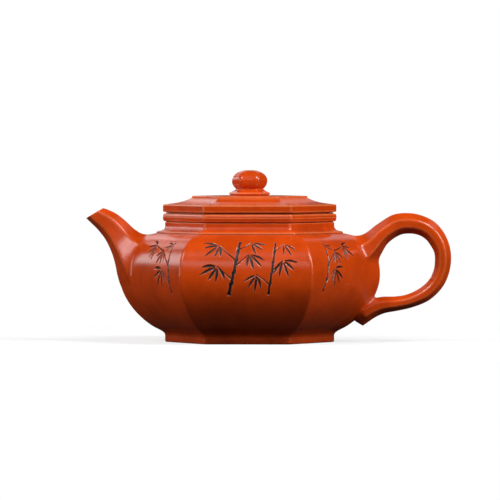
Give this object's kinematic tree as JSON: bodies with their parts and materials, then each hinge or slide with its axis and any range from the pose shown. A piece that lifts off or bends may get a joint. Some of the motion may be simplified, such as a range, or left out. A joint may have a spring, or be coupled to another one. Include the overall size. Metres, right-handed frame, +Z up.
{
  "type": "teapot",
  "caption": "Low hexagonal clay teapot with curved walls, a faceted spout and looped handle on opposite ridges, and a loose stepped lid with a bead knob.",
  "frame": {"origin": "centre of the foot, in the plane the pot stands on, on the axis of the pot and lid", "axes": "+Z up along the pot's axis, +X towards the handle, -X towards the spout, -Y out of the front wall"},
  "size_m": [0.1594, 0.099, 0.075],
  "materials": {
    "clay": "unglazed, burnished to a satin polish",
    "clay_unpolished": "unglazed, matt, as scraped"
  },
  "bodies": {
    "pot": {"foot_ring": "clay", "base_slab": "clay_unpolished", "wall_right_front": "clay", "wall_right_back": "clay", "wall_back": "clay", "wall_left_back": "clay", "wall_left_front": "clay", "wall_front": "clay", "shoulder_slab": "clay", "neck_band": "clay", "mouth_moulding": "clay", "spout": "clay", "ball_strainer": "clay_unpolished", "handle": "clay"},
    "lid": {"lid_edge_moulding": "clay", "lid_roof_slab": "clay", "lid_plate": "clay", "lid_lip": "clay_unpolished", "knob_collar": "clay", "knob": "clay"}
  },
  "joints": [
    {"name": "lid_lift", "type": "slide", "parent": "pot", "child": "lid", "axis": [0, 0, 1], "range_m": [0, 0.06]}
  ]
}
